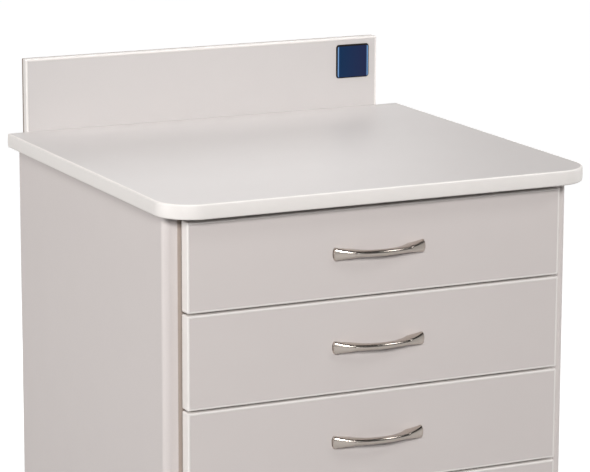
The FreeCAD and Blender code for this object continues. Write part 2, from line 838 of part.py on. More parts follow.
def make_drawer_screws(k):
    """Two handle screws and four screws that hold the front to the box."""
    head_face = "front_rear + box_board"
    screws = []
    for i, (x, z) in enumerate(handle_screw_places(k)):
        screws.append(screw_shape(f"handle_screw_{k}_{i}", (x, head_face, z), Vector(0, -1, 0),
                                  "box_board + front_thick + handle_thread_depth"))
    for i, (x, z) in enumerate(front_screw_places(k)):
        screws.append(screw_shape(f"front_screw_{k}_{i}", (x, head_face, z), Vector(0, -1, 0),
                                  "box_board + screw_bite - hole_play"))
    node(group(f"screws_{k}", screws), f"drawer_screws_{k}")


def make_bumpers():
    """Two soft stops for each drawer front, on the edges of the inner sides."""
    stops = []
    for k in range(1, DRAWER_COUNT + 1):
        height = f"{front_top(k)} - screw_edge"
        right = rod(f"bumper_{k}", "bumper_radius", "closed_gap - bumper_play",
                    ("carcass_inner + bumper_radius", "carcass_front", height),
                    Vector(0, -1, 0))
        stops += [mirrored(f"bumper_left_{k}", right), right]
    node(group("bumper_set", stops), "drawer_bumpers")


def check_document():
    """Stop if any object failed or any sub-part has no valid shape."""
    for thing in doc.Objects:
        if "Invalid" in thing.State or "Error" in thing.State:
            raise RuntimeError(f"{thing.Name} failed: {thing.State}")
    for thing in nodes:
        if thing.Shape.isNull() or not thing.Shape.isValid() or not thing.Shape.Solids:
            raise RuntimeError(f"{thing.Label} has no valid solid")


make_worktop()
make_worktop_edging()
make_splash()
make_badge()
make_side_panels()
make_carcass()
make_carcass_screws()
make_plinth()
make_feet()
make_slides()
for k in range(1, DRAWER_COUNT + 1):
    make_drawer_front(k)
    make_handle(k)
    make_drawer_box(k)
    make_drawer_screws(k)
make_bumpers()
doc.recompute()
check_document()

os.makedirs("parts", exist_ok=True)
for thing in nodes:
    thing.Shape.exportStep(os.path.join("parts", f"{thing.Label}.step"))
print(f"{len(nodes)} sub-parts written")
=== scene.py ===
import functools
import math

import bmesh
import bpy
import numpy as np
from bpy.props import FloatProperty, FloatVectorProperty, PointerProperty
from mathutils import Matrix, Vector


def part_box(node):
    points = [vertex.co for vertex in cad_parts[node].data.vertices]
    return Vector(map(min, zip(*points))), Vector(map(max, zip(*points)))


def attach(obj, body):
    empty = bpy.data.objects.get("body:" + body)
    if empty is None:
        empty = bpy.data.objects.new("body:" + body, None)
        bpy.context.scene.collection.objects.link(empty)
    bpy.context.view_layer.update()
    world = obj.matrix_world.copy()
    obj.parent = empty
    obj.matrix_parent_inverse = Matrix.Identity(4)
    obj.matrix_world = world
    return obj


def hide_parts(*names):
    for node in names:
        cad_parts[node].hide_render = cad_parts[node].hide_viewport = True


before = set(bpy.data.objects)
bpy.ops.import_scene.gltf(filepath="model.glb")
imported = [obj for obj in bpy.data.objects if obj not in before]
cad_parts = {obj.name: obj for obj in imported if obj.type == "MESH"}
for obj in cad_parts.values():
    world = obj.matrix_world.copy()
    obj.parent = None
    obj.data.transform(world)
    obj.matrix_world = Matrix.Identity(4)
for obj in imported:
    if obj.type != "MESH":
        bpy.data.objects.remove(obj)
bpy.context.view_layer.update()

bl_info = {
    "name": "Drawer Cabinet Looks",
    "version": (1, 0, 0),
    "blender": (4, 5, 0),
    "location": "View3D > Sidebar > Cabinet",
    "description": "Finished surfaces of a laminate drawer cabinet",
    "category": "Object",
}

MM = 0.001
MERGED_WITHIN = 0.002 * MM
SHARP_FROM = math.radians(50)
DRAWERS = range(1, 6)
FEET = ("front_left", "front_right", "rear_left", "rear_right")

# Axes of an outline's two coordinates and of its level
IN_PLAN = (0, 1, 2)
IN_FRONT_VIEW = (0, 2, 1)
IN_SIDE_VIEW = (1, 2, 0)

# Places of the sockets on a Mix node, which share their names: the factor, the two
# numbers and the two colours
FACTOR, NUMBER_A, NUMBER_B, COLOUR_A, COLOUR_B = 0, 2, 3, 6, 7
PLASTIC = {"IOR": 1.5}
METAL = {"Metallic": 1.0}
# Values between which nearly all of a noise pattern lies
PATTERN_LOW = 0.3
PATTERN_HIGH = 0.7

# Soft boxes: power in watts, bearing in degrees (0 in front, negative to the left),
# distance and height of the middle, width and height of the box, in metres
SOFT_BOXES = {
    "near": (172, -22, 4.4, 2.45, 1.1, 0.8),
    "side": (34, -95, 2.6, 1.2, 1.2, 1.6),
    "high_side": (4, -75, 2.2, 2.0, 1.2, 1.0),
    "right": (36, 92, 2.6, 0.9, 1.2, 1.5),
    "streak": (15, 42, 2.5, 2.6, 0.75, 0.75),
    "top": (23, 90, 0.2, 2.6, 1.4, 1.4),
    "rear": (6, 160, 2.6, 1.9, 1.2, 0.8),
    "back": (45, 180, 3.0, 0.7, 0.5, 1.2),
}
# What the soft boxes are turned to: a point in the cabinet's upper half
LIT_POINT = Vector((0.0, 0.0, 0.75))
# Soft boxes that only fill: the photograph shows none of them in the handles
FILLS = ("top", "right", "back")

# Sines of the elevations between which the room turns from sweep to wall to ceiling
SWEEP_TOP = 0.13
WALL_FOOT = 0.18
WALL_TOP = 0.35
CEILING_FOOT = 0.60
# Distances from the cabinet, in metres, between which the floor's glow grows
GLOW_FROM = 1.0
GLOW_TO = 2.6


def linear(code):
    """Turn an sRGB hex code into linear red, green and blue."""
    channels = [int(code[i:i + 2], 16) / 255 for i in (1, 3, 5)]
    return tuple(c / 12.92 if c <= 0.04045 else ((c + 0.055) / 1.055) ** 2.4 for c in channels)


def length(label, text, default):
    """A length property in metres, whose default is given in millimetres."""
    return FloatProperty(name=label, description=text, default=default * MM, unit="LENGTH",
                         subtype="DISTANCE", precision=5)


def colour(label, text, code):
    """A colour property whose default is an sRGB hex code."""
    return FloatVectorProperty(name=label, description=text, default=linear(code), size=3,
                               min=0.0, max=1.0, subtype="COLOR")


def power(label, text, default):
    """A light's power or a surface's brightness, never negative."""
    return FloatProperty(name=label, description=text, default=default, min=0.0)


def angle(label, text, degrees):
    """An angle property, whose default is given in degrees."""
    return FloatProperty(name=label, description=text, default=math.radians(degrees),
                         subtype="ANGLE")


class CabinetSizes(bpy.types.PropertyGroup):
    """Sizes of the finish that the construction model doesn't hold."""

    worktop_corner: length("Worktop corner", "Radius of the worktop's front corners", 50.0)
    worktop_arris: length("Worktop arris", "Round of the worktop band's long edges", 2.0)
    worktop_crown: length("Worktop crown", "How far the worktop band's face bows out", 0.35)
    splash_arris: length("Splash arris", "Round of the splash band's edges", 1.5)
    backing: length("Backing", "Thickness of the splash board's brown backing", 5.0)
    front_arris: length("Drawer arris", "Round of a drawer band's edges", 2.0)
    panel_round: length("Panel round", "Round of the finish panels' outer corners", 9.5)
    board_arris: length("Board arris", "Round of a sawn and banded board's edges", 0.6)
    seam: length("Seam", "Small round on both sides where a band meets its board", 0.25)
    plate_corner: length("Plate corner", "Corner radius of the blank plate", 4.5)
    plate_rim: length("Plate rim", "Width of the plate's dark rim", 2.0)
    # The drop leaves the dark rim wider at the top, where it also paints the dark ceiling mirrored
    # in the resin
    plate_drop: length("Plate print drop", "How far the blue print sits below the middle", 0.5)
    plate_dome: length("Plate dome", "Round of the clear resin at the plate's edges", 2.0)
    handle_end: length("Handle end thickness", "Thickness of a handle at its two ends", 4.6)
    handle_pad: length("Handle pad", "Length of the flat facet at each end of a handle", 25.0)
    handle_bulge: length("Handle end bulge", "How far a handle's ends bow out", 2.0)
    handle_waist: length("Handle waist", "Height of a handle at its middle", 8.4)
    handle_straight: length("Handle middle", "Length of the straight stretch at the waist", 31.0)
    handle_thick: length("Handle thickness", "Thickness of a handle at its middle", 8.0)
    foot_pitch: length("Stem pitch", "Pitch of the thread on a levelling foot's stem", 1.5)


class CabinetColours(bpy.types.PropertyGroup):
    """Base colours of the finishes."""

    cabinet: colour("Cabinet laminate", "Taupe melamine of fronts and side panels", "#cfc7c4")
    worktop: colour("Worktop laminate", "Paler laminate of the worktop and splash board", "#c6c1bf")
    band: colour("Edge band", "Pale plastic band on every edge that shows", "#e3deda")
    core: colour("Backing core", "Brown core of the splash board's backing sheet", "#8a7a70")
    # Brown-grey as the inner boards look in the shaded gaps beside the drawers: their own tint with
    # painted shade in it
    carcass: colour("Carcass", "Melamine of the inner sides, floor and rails", "#ab9d93")
    box: colour("Drawer box", "White melamine of the drawer boxes", "#e4e3df")
    nickel: colour("Handle metal", "Satin nickel plate", "#c4bab1")
    zinc: colour("Zinc", "Bright zinc plate of slides and screws", "#b9bcc0")
    plate_left: colour("Plate, left", "Deep blue of the plate at its left", "#0a2b4c")
    plate_right: colour("Plate, right", "Deep blue of the plate at its right", "#1e2343")
    # Painted highlight: paler blue for the lamps mirrored in the resin's upright rounds
    plate_edge_highlight: colour("Plate, edges", "Blue just inside the plate's upright edges", "#6f9acb")
    # The rim is partly print and partly painted reflection of the dark room in the resin's upper
    # and lower rounds
    rim: colour("Plate rim", "Nearly black rim of the plate", "#17120f")
    black: colour("Black plastic", "Moulded plastic of feet and sockets", "#1d1d1e")
    stop: colour("Drawer stop", "Milky clear plastic of the drawers' stops", "#e1e1de")
    floor: colour("Floor", "Grey studio floor", "#828282")


class StageSettings(bpy.types.PropertyGroup):
    """The camera, floor and lights."""

    azimuth: angle("Azimuth", "Camera's turn round the cabinet", -25.7826)
    elevation: angle("Elevation", "Camera's height angle", 12.1372)
    roll: angle("Roll", "Camera's turn about its own axis", 0.1611)
    camera_place: FloatVectorProperty(name="Camera place", description="Where the camera stands",
                                      default=(-1.75527, -3.64615, 1.63960),
                                      subtype="TRANSLATION")
    lens: FloatProperty(name="Focal length", description="On a 36 mm wide sensor, in mm",
                        default=185.746, min=1.0)
    floor_half: FloatProperty(name="Floor half width", description="Half the width of the floor",
                              default=30.0, unit="LENGTH")
    floor_near: power("Floor glow, near", "Lifts the seen floor round the cabinet", 0.8)
    floor_far: power("Floor glow, far", "Lifts the seen floor beyond the lamps to white", 1.0)
    mirrored_floor: power("Floor in reflections", "Share of the glow that metal mirrors", 0.52)
    sweep: power("Sweep", "Brightness of the white sweep round the horizon", 1.0)
    mirrored_sweep: power("Sweep in reflections", "Share of the sweep that metal mirrors", 0.28)
    walls: power("Walls", "Brightness of the room's walls", 0.016)
    ceiling: power("Ceiling", "Brightness of the room's ceiling", 0.016)


for lamp_name, lamp_values in SOFT_BOXES.items():
    words = lamp_name.replace("_", " ")
    StageSettings.__annotations__[f"{lamp_name}_power"] = power(
        f"{words} light".capitalize(), f"Power of the {words} soft box, in W", lamp_values[0])


def sizes():
    """The sizes of the finish, in metres."""
    return bpy.context.scene.cabinet_sizes


def colours():
    """The base colours, linear."""
    return bpy.context.scene.cabinet_colours


def arc(start, end, steps):
    """Cosines and sines of evenly spaced angles, both ends included, given in degrees."""
    turn = np.radians(np.linspace(start, end, steps + 1))
    return np.cos(turn), np.sin(turn)


def outline(low, high, radii, inset, closed, steps):
    """Points round a rectangle with quarter-circle corners, moved inwards by an inset.

    The way round is far left, near left, near right, far right. Each radius
    shrinks by the inset, down to a point. An open outline leaves out the two
    far corners and starts and ends on the far side, which the inset leaves alone.
    """
    (a0, b0), (a1, b1) = low, high
    corners = [(a0, b1, 1, -1, 90), (a0, b0, 1, 1, 180), (a1, b0, -1, 1, 270), (a1, b1, -1, -1, 0)]
    stretches = []
    for (a, b, to_right, to_far, first), radius in zip(corners, radii):
        r = max(radius - inset, 0.0)
        cos, sin = arc(first, first + 90, steps)
        stretches.append(np.column_stack([a + to_right * (inset + r) + r * cos,
                                          b + to_far * (inset + r) + r * sin]))
    if not closed:
        stretches[0] = [[a0 + inset, b1]]
        stretches[3] = [[a1 - inset, b1]]
    return np.vstack(stretches)


def ringed(low, high, radii, section, axes, closed=True, steps=8):
    """Grid of points: one outline for each (inset, level) pair of a section."""
    near = [low[axis] for axis in axes[:2]]
    far = [high[axis] for axis in axes[:2]]
    rings = np.array([outline(near, far, radii, inset, closed, steps) for inset, _ in section])
    grid = np.empty(rings.shape[:2] + (3,))
    grid[..., axes[0]] = rings[..., 0]
    grid[..., axes[1]] = rings[..., 1]
    grid[..., axes[2]] = [[level] for _, level in section]
    return grid


def rounded_rise(bottom, top, radius, steps=4):
    """Section of a solid board: quarter-circle arrises between its two faces."""
    cos, sin = arc(0, 90, steps)
    lower = [(radius * (1 - s), bottom + radius * (1 - c)) for c, s in zip(cos, sin)]
    upper = [(radius * (1 - s), top - radius * (1 - c)) for c, s in zip(cos, sin)]
    return lower + upper[::-1]


def band_section(bottom, top, width, radius, crown):
    """Closed section of an edge band: round outer arrises, tiny rounds at the seam.

    The outer face bows out by the crown, as a parabola of the height.
    """
    seam = sizes().seam
    rise = rounded_rise(bottom, top, radius, steps=5)
    outer = [(inset + crown, level) for inset, level in rise]
    half = (top - bottom) / 2 - radius
    face = [(crown * t**2, (bottom + top) / 2 + half * t) for t in np.linspace(-0.8, 0.8, 9)]
    middle = len(outer) // 2
    outer = outer[:middle] + (face if crown else []) + outer[middle:]
    return outer + [(width - seam, top), (width, top - seam), (width, bottom + seam),
                    (width - seam, bottom)]


def surface(grid, wrap_rows=False, wrap_columns=True, capped=True):
    """Quads between the neighbours of a grid, with a flat face over each open end."""
    rows, columns = grid.shape[:2]
    index = np.arange(rows * columns).reshape(rows, columns)
    ends = []
    if capped and not wrap_rows:
        ends = [index[0][::-1], index[-1]]
    if capped and not wrap_columns:
        ends = [index[:, 0], index[:, -1][::-1]]
    if wrap_rows:
        index = np.vstack([index, index[:1]])
    if wrap_columns:
        index = np.hstack([index, index[:, :1]])
    quads = np.stack([index[:-1, :-1], index[:-1, 1:], index[1:, 1:], index[1:, :-1]], axis=-1)
    quads = quads.reshape(-1, 4)
    corners = np.concatenate([quads.ravel(), *ends])
    counts = np.concatenate([np.full(len(quads), 4), [len(end) for end in ends]]).astype(int)
    return grid.reshape(-1, 3), corners.astype(int), counts


def mirrored(shape, way=(-1, 1, 1)):
    """The same surface on the other side of a plane through the origin."""
    points, corners, counts = shape
    return points * way, corners, counts


def board(low, high, radii=None, arris=None, axes=IN_PLAN, steps=6):
    """A solid board with rounded arrises, between two corners of its box.

    Its outline lies along the first two of the axes, and its thickness along the third.
    """
    r = sizes().board_arris if arris is None else arris
    section = rounded_rise(low[axes[2]], high[axes[2]], r)
    return surface(ringed(low, high, radii or (r,) * 4, section, axes, steps=steps))


def band(low, high, width, arris, radii, axes, closed=True, crown=0.0, steps=5):
    """An edge band of a given width, all round its board or open on the far side."""
    section = band_section(low[axes[2]], high[axes[2]], width, arris, crown)
    grid = ringed(low, high, radii, section, axes, closed, steps)
    return surface(grid, wrap_rows=True, wrap_columns=closed)


def wrapped(centre, radius, height, turn):
    """A surface round a vertical axis: radii and heights, with a row for each height."""
    x = centre[0] + radius * np.cos(turn)
    y = centre[1] + radius * np.sin(turn)
    z = centre[2] + height + 0 * x
    return surface(np.stack([x, y, z], axis=-1))


def build_mesh(name, shapes):
    """One mesh from several surfaces, with doubles merged and faces outwards."""
    points = np.vstack([shape[0] for shape in shapes])
    offsets = np.cumsum([0] + [len(shape[0]) for shape in shapes[:-1]])
    corners = np.concatenate([shape[1] + offset for shape, offset in zip(shapes, offsets)])
    counts = np.concatenate([shape[2] for shape in shapes])
    mesh = bpy.data.meshes.new(name)
    mesh.vertices.add(len(points))
    mesh.vertices.foreach_set("co", points.astype(np.float32).ravel())
    mesh.loops.add(len(corners))
    mesh.loops.foreach_set("vertex_index", corners.astype(np.int32))
    mesh.polygons.add(len(counts))
    mesh.polygons.foreach_set("loop_start", (np.cumsum(counts) - counts).astype(np.int32))
    mesh.update(calc_edges=True)
    shell = bmesh.new()
    shell.from_mesh(mesh)
    bmesh.ops.remove_doubles(shell, verts=shell.verts, dist=MERGED_WITHIN)
    bmesh.ops.dissolve_degenerate(shell, edges=shell.edges, dist=MERGED_WITHIN / 20)
    bmesh.ops.recalc_face_normals(shell, faces=shell.faces)
    shell.to_mesh(mesh)
    shell.free()
    return mesh


def linked(name, data):
    """A new object in the scene's own collection."""
    thing = bpy.data.objects.new(name, data)
    bpy.context.scene.collection.objects.link(thing)
    return thing


def piece(name, shapes, body, material, slot, *nodes):
    """Put a finished piece in the scene: smooth faces, its finish, its body and its nodes."""
    mesh = build_mesh(name, shapes)
    mesh.shade_smooth()
    mesh.set_sharp_from_angle(angle=SHARP_FROM)
    mesh.materials.append(material)
    thing = linked(name, mesh)
    normals = thing.modifiers.new("flat faces stay flat", "WEIGHTED_NORMAL")
    normals.keep_sharp = True
    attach(thing, body)
    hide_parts(*nodes)


def add(tree, kind, inputs=None, **settings):
    """Add one shader node, set its properties and fill or link its inputs.

    A node given for an input is linked by the first of its outputs in use.
    """
    made = tree.nodes.new("ShaderNode" + kind)
    for key, setting in settings.items():
        setattr(made, key, setting)
    for key, given in (inputs or {}).items():
        if isinstance(given, bpy.types.Node):
            given = next(output for output in given.outputs if output.enabled)
        if isinstance(given, bpy.types.NodeSocket):
            tree.links.new(given, made.inputs[key])
        else:
            made.inputs[key].default_value = given
    return made


def finish(name):
    """Turn a function that fills a shader tree into one that returns its material.

    The function gets the tree and an Object coordinate and returns the last
    shader. The material is made once and afterwards found by its name.
    """
    def decorate(fill):
        @functools.wraps(fill)
        def material():
            made = bpy.data.materials.get(name)
            if made is None:
                made = bpy.data.materials.new(name)
                made.use_nodes = True
                tree = made.node_tree
                tree.nodes.clear()
                surface_shader = fill(tree, add(tree, "TexCoord").outputs["Object"])
                add(tree, "OutputMaterial", {"Surface": surface_shader})
            return made
        return material
    return decorate


def per(millimetres):
    """Noise scale whose cells are about that many millimetres across."""
    return 1.0 / (millimetres * MM)


def shaded(base, factor=1.0):
    """A colour made darker or paler by a factor, with full alpha."""
    return tuple(min(c * factor, 1.0) for c in base[:3]) + (1.0,)


def shader(tree, tone, roughness, levels, relief=None):
    """One Principled shader from a tone, a roughness, fixed levels and a relief.

    A roughness is a number, or a pattern with the roughness where it is low
    and where it is high. A relief is a pattern, a strength and a depth in mm.
    """
    inputs = {"Base Color": tone, "Roughness": roughness, **levels}
    if isinstance(roughness, tuple):
        pattern, low, high = roughness
        inputs["Roughness"] = add(tree, "MapRange",
                                  {"Value": pattern, "From Min": PATTERN_LOW,
                                   "From Max": PATTERN_HIGH, "To Min": low, "To Max": high})
    if relief:
        pattern, strength, depth = relief
        inputs["Normal"] = add(tree, "Bump", {"Height": pattern, "Strength": strength,
                                              "Distance": depth * MM})
    return add(tree, "BsdfPrincipled", inputs)


def melamine(tree, place, base, roughness, grain, depth):
    """Melamine-faced board, pressed against a fine pearl-textured steel plate.

    To the eye it is one even colour with a soft sheen, broken by a pressed
    grain finer than a millimetre and by very faint clouds in the print.
    """
    clouds = add(tree, "TexNoise", {"Vector": place, "Scale": per(60), "Detail": 3.0})
    pearl = add(tree, "TexNoise", {"Vector": place, "Scale": per(grain), "Detail": 2.0,
                                   "Roughness": 0.6})
    printed = add(tree, "Mix", {FACTOR: clouds, COLOUR_A: shaded(base, 0.985),
                                COLOUR_B: shaded(base, 1.015)}, data_type="RGBA")
    speck = add(tree, "MapRange", {"Value": pearl, "From Min": PATTERN_LOW,
                                   "From Max": PATTERN_HIGH, "To Min": 0.97, "To Max": 1.03})
    tone = add(tree, "VectorMath", {0: printed, "Scale": speck}, operation="SCALE")
    return shader(tree, tone, (pearl, roughness - 0.05, roughness + 0.05), PLASTIC,
                  (pearl, 0.35, depth))


@finish("Taupe pearl melamine")
def cabinet_melamine(tree, place):
    """Taupe melamine of the drawer fronts, finish panels and plinth, with a soft sheen."""
    return melamine(tree, place, colours().cabinet, roughness=0.48, grain=0.9, depth=0.05)


@finish("Pale high-pressure laminate")
def worktop_laminate(tree, place):
    """Pale high-pressure laminate, smoother than the fronts, on worktop and splash."""
    return melamine(tree, place, colours().worktop, roughness=0.40, grain=0.7, depth=0.035)


@finish("Carcass melamine")
def carcass_melamine(tree, place):
    """Brown-grey melamine of the boards inside the cabinet, darker than the fronts: partly painted
    shade.
    """
    return melamine(tree, place, colours().carcass, roughness=0.52, grain=1.1, depth=0.05)


@finish("White melamine")
def box_melamine(tree, place):
    """White melamine of the drawer boxes, a little glossier than the fronts."""
    return melamine(tree, place, colours().box, roughness=0.42, grain=0.9, depth=0.04)


def extruded_band(tree, place, backed):
    """Extruded ABS edge band, glued on and scraped flush.

    Paler and a little glossier than the board, with faint waves where the
    scraper has passed and a fine grain. On the splash board the brown core of
    its backing sheet shows as a line along the rear.
    """
    base = colours().band
    waves = add(tree, "TexNoise", {"Vector": place, "Scale": per(14), "Detail": 2.0})
    grain = add(tree, "TexNoise", {"Vector": place, "Scale": per(0.8), "Detail": 2.0})
    tone = add(tree, "Mix", {FACTOR: waves, COLOUR_A: shaded(base, 0.98),
                             COLOUR_B: shaded(base, 1.02)}, data_type="RGBA")
    if backed:
        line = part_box("splash_edging")[1].y - sizes().backing
        depth = add(tree, "SeparateXYZ", {"Vector": place}).outputs["Y"]
        core = add(tree, "MapRange", {"Value": depth, "From Min": line - 1 * MM,
                                      "From Max": line}, interpolation_type="SMOOTHSTEP")
        tone = add(tree, "Mix", {FACTOR: core, COLOUR_A: tone,
                                 COLOUR_B: shaded(colours().core)}, data_type="RGBA")
    return shader(tree, tone, (waves, 0.40, 0.50), PLASTIC, (grain, 0.2, 0.02))


@finish("Extruded ABS edge band")
def edge_band(tree, place):
    """The band of the worktop and the drawer fronts."""
    return extruded_band(tree, place, backed=False)


@finish("Backed ABS edge band")
def backed_edge_band(tree, place):
    """The band of the splash board, with the brown line of its backing."""
    return extruded_band(tree, place, backed=True)


def drawn_lines(tree, place, cells):
    """Noise drawn out into lines: the size of its cells along each axis, in mm."""
    stretched = add(tree, "Mapping", {"Vector": place, "Scale": [per(cell) for cell in cells]})
    return add(tree, "TexNoise", {"Vector": stretched, "Scale": 1.0, "Detail": 2.0})


@finish("Brushed satin nickel")
def satin_nickel(tree, place):
    """Die-cast zinc, polished, nickel plated and brushed along its length.

    The eye sees a bright warm metal whose reflections are drawn out a little
    across the bow by very fine lines, made 0.35 mm wide here so that they show.
    """
    base = colours().nickel
    lines = drawn_lines(tree, place, (30, 0.5, 0.35))
    tone = add(tree, "Mix", {FACTOR: lines, COLOUR_A: shaded(base, 0.94),
                             COLOUR_B: shaded(base, 1.04)}, data_type="RGBA")
    return shader(tree, tone, (lines, 0.17, 0.25), METAL, (lines, 0.12, 0.02))


@finish("Bright zinc plate")
def zinc_plate(tree, place):
    """Steel sheet, rolled and plated bright with zinc.

    The eye sees a cool, slightly blurred metal with faint cloudy spangle, and
    rolling lines that are made 0.6 mm wide here so that they show.
    """
    base = colours().zinc
    spangle = add(tree, "TexVoronoi", {"Vector": place, "Scale": per(5)})
    rolled = drawn_lines(tree, place, (0.6, 25, 0.6))
    tone = add(tree, "Mix", {FACTOR: spangle.outputs["Color"], COLOUR_A: shaded(base, 0.93),
                             COLOUR_B: shaded(base, 1.05)}, data_type="RGBA")
    return shader(tree, tone, (rolled, 0.28, 0.42), METAL, (rolled, 0.15, 0.02))


@finish("Black moulded polypropylene")
def black_plastic(tree, place):
    """Polypropylene, injection moulded in a spark-eroded tool.

    The eye sees a matt, nearly black surface with a fine even grain, made
    0.7 mm across here so that it shows.
    """
    base = colours().black
    grain = add(tree, "TexNoise", {"Vector": place, "Scale": per(0.7), "Detail": 3.0})
    tone = add(tree, "Mix", {FACTOR: grain, COLOUR_A: shaded(base, 0.85),
                             COLOUR_B: shaded(base, 1.15)}, data_type="RGBA")
    return shader(tree, tone, 0.5, PLASTIC, (grain, 0.4, 0.06))


@finish("Clear polyurethane stop")
def soft_stop(tree, place):
    """Polyurethane, cast clear in small buttons.

    The eye sees milky, slightly glossy drops, a little cloudy inside.
    """
    base = colours().stop
    cloud = add(tree, "TexNoise", {"Vector": place, "Scale": per(3), "Detail": 2.0})
    tone = add(tree, "Mix", {FACTOR: cloud, COLOUR_A: shaded(base, 0.93),
                             COLOUR_B: shaded(base, 1.06)}, data_type="RGBA")
    return shader(tree, tone, 0.25, PLASTIC)


@finish("Blue foil under clear resin")
def domed_plate(tree, place):
    """Blue foil under clear domed resin, with a nearly black rim of print and painted reflection.

    The rim follows the plate's rounded outline. The blue turns from a green
    cast on the left to a red one on the right. Just inside both upright edges it
    is painted paler, a painted highlight for the lamps mirrored in the round of
    the resin. The foil's flakes are made 0.6 mm across here so that they show.
    """
    low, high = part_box("badge_plate")
    half = (high - low) / 2
    corner = sizes().plate_corner
    inner = corner - sizes().plate_rim
    blur = 0.2 * MM
    highlight_from = inner - 2.6 * MM
    highlight_to = inner - 0.6 * MM
    centre = (low + high) / 2 - Vector((0, 0, sizes().plate_drop))
    from_centre = add(tree, "VectorMath", {0: place, 1: tuple(centre)}, operation="SUBTRACT")
    reach = add(tree, "VectorMath", {0: from_centre}, operation="ABSOLUTE")
    # Distance out of the rectangle on which the rounded corners are struck. A metre
    # along Y is more than any depth of the plate, so depth doesn't count.
    struck = (half.x - corner, 1.0, half.z - corner)
    past = add(tree, "VectorMath", {0: reach, 1: struck}, operation="SUBTRACT")
    outside = add(tree, "VectorMath", {0: past, 1: (0, 0, 0)}, operation="MAXIMUM")
    away = add(tree, "VectorMath", {0: outside}, operation="LENGTH")
    sides = add(tree, "SeparateXYZ", {"Vector": past}).outputs
    larger = add(tree, "Math", {0: sides["X"], 1: sides["Z"]}, operation="MAXIMUM")
    within = add(tree, "Math", {0: larger, 1: 0.0}, operation="MINIMUM")
    edge = add(tree, "Math", {0: away, 1: within}, operation="ADD")
    # Nearly black rim: printed, and also painted reflection of the dark room in the resin's rounds
    black = add(tree, "MapRange", {"Value": edge, "From Min": inner - blur,
                                   "From Max": inner + blur}, interpolation_type="SMOOTHSTEP")
    across = add(tree, "SeparateXYZ", {"Vector": from_centre})
    fade = add(tree, "MapRange", {"Value": across, "From Min": -half.x, "From Max": half.x})
    blue = add(tree, "Mix", {FACTOR: fade, COLOUR_A: shaded(colours().plate_left),
                             COLOUR_B: shaded(colours().plate_right)}, data_type="RGBA")
    foil = add(tree, "TexNoise", {"Vector": place, "Scale": per(0.6), "Detail": 2.0})
    flecks = add(tree, "MapRange", {"Value": foil, "To Min": 0.85, "To Max": 1.15})
    flecked = add(tree, "VectorMath", {0: blue, "Scale": flecks}, operation="SCALE")
    # Painted highlight: the blue turns paler just inside both upright edges
    painted_edge_highlight = add(tree, "MapRange", {"Value": sides["X"], "From Min": highlight_from,
                                      "From Max": highlight_to}, interpolation_type="SMOOTHSTEP")
    # The blue, with the painted highlight mixed in near the upright edges
    printed = add(tree, "Mix", {FACTOR: painted_edge_highlight, COLOUR_A: flecked,
                                COLOUR_B: shaded(colours().plate_edge_highlight)}, data_type="RGBA")
    rimmed = add(tree, "Mix", {FACTOR: black, COLOUR_A: printed,
                               COLOUR_B: shaded(colours().rim)}, data_type="RGBA")
    return shader(tree, rimmed, 0.4, {"IOR": 1.5, "Specular IOR Level": 0.1,
                                      "Coat Weight": 0.12, "Coat Roughness": 0.06})


def dress(node, material):
    """Give a node of the construction model its finish."""
    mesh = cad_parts[node].data
    mesh.materials.clear()
    mesh.materials.append(material)


class CABINET_OT_worktop(bpy.types.Operator):
    """Build the worktop board and the edge band round its front and sides"""

    bl_idname = "cabinet.worktop"
    bl_label = "Worktop"

    def execute(self, context):
        low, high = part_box("worktop_edging")
        core_low, core_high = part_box("worktop_board")
        width = core_low.x - low.x
        corner = sizes().worktop_corner
        seam = sizes().seam
        inner = corner - width
        core = board(core_low, core_high, (seam, inner, inner, seam), seam, steps=24)
        piece("worktop_laminate_board", [core], "cabinet", worktop_laminate(), "laminate",
              "worktop_board")
        edging = band(low, high, width, sizes().worktop_arris, (0, corner, corner, 0), IN_PLAN,
                      closed=False, crown=sizes().worktop_crown, steps=24)
        piece("worktop_edge_band", [edging], "cabinet", edge_band(), "edging", "worktop_edging")
        return {"FINISHED"}


class CABINET_OT_splash(bpy.types.Operator):
    """Dress the splash board and build the edge band round its top and ends"""

    bl_idname = "cabinet.splash"
    bl_label = "Splash Board"

    def execute(self, context):
        dress("splash_board", worktop_laminate())
        low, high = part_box("splash_edging")
        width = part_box("splash_board")[0].x - low.x
        r = sizes().splash_arris
        # Built hanging, because an open band leaves out its far side, and turned up
        hanging = band((low.x, low.y, -high.z), (high.x, high.y, -low.z), width, r,
                       (0, r, r, 0), IN_FRONT_VIEW, closed=False)
        piece("splash_edge_band", [mirrored(hanging, (1, 1, -1))], "cabinet",
              backed_edge_band(), "edging", "splash_edging")
        return {"FINISHED"}


class CABINET_OT_plate(bpy.types.Operator):
    """Build the blank plate with its domed clear face"""

    bl_idname = "cabinet.plate"
    bl_label = "Blank Plate"

    wall: FloatProperty(name="Wall", description="Upright share of the resin's edge", default=0.2)
    rise: length("Rise", "How far the resin rises inside its rounded edge", 0.3)

    def execute(self, context):
        low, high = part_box("badge_plate")
        dome = sizes().plate_dome
        # The resin leaves the splash board upright, turns over an elliptic round and
        # rises on by a parabola to its middle
        cos, sin = arc(0, 90, 10)
        deep = high.y - low.y - self.rise
        section = [(0.0, high.y)]
        section += [(dome * (1 - c), high.y - deep * (self.wall + (1 - self.wall) * s))
                    for c, s in zip(cos, sin)]
        middle = (high.z - low.z) / 2 - dome
        section += [(dome + middle * t, low.y + self.rise * (1 - t) ** 2)
                    for t in np.linspace(0.1, 0.95, 10)]
        grid = ringed(low, high, (sizes().plate_corner,) * 4, section, IN_FRONT_VIEW)
        piece("blank_plate", [surface(grid)], "cabinet", domed_plate(), "badge", "badge_plate")
        return {"FINISHED"}


